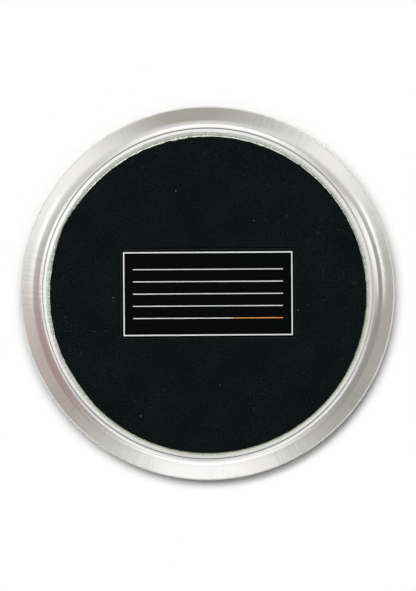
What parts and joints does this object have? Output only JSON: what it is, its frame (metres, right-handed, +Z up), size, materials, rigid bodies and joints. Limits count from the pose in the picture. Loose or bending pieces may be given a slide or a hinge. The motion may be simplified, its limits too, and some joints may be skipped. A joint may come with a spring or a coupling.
{
  "type": "glass coaster",
  "caption": "Round coaster: a shallow glass dish with a sloping rim, silver leaf on the back of the rim, a paper print under the floor, and a black felt backing with a plain label.",
  "frame": {"origin": "centre of the felt's underside, on the surface that the coaster stands on", "axes": "+Z up out of the dish along its round axis, +X along the long side of the label on the underside, +Y across the label"},
  "size_m": [0.108, 0.108, 0.0073],
  "materials": {
    "clear_glass": "polished, clear, faintly green",
    "silver_leaf": "satin metal leaf, brushed out towards the rim",
    "clear_glue": "dried clear glue, glossy",
    "printed_paper": "smooth printed paper",
    "white_glue": "dried glue, matt",
    "black_felt": "short black pile",
    "label_card": "coated black card with a silver border"
  },
  "bodies": {
    "root": {"glass_dish": "clear_glass", "rim_leaf": "silver_leaf", "print_glue": "clear_glue", "print_sheet": "printed_paper", "backing_glue": "white_glue", "backing_felt": "black_felt", "edge_sealant": "clear_glue", "label": "label_card", "label_glue": "white_glue"}
  },
  "joints": []
}
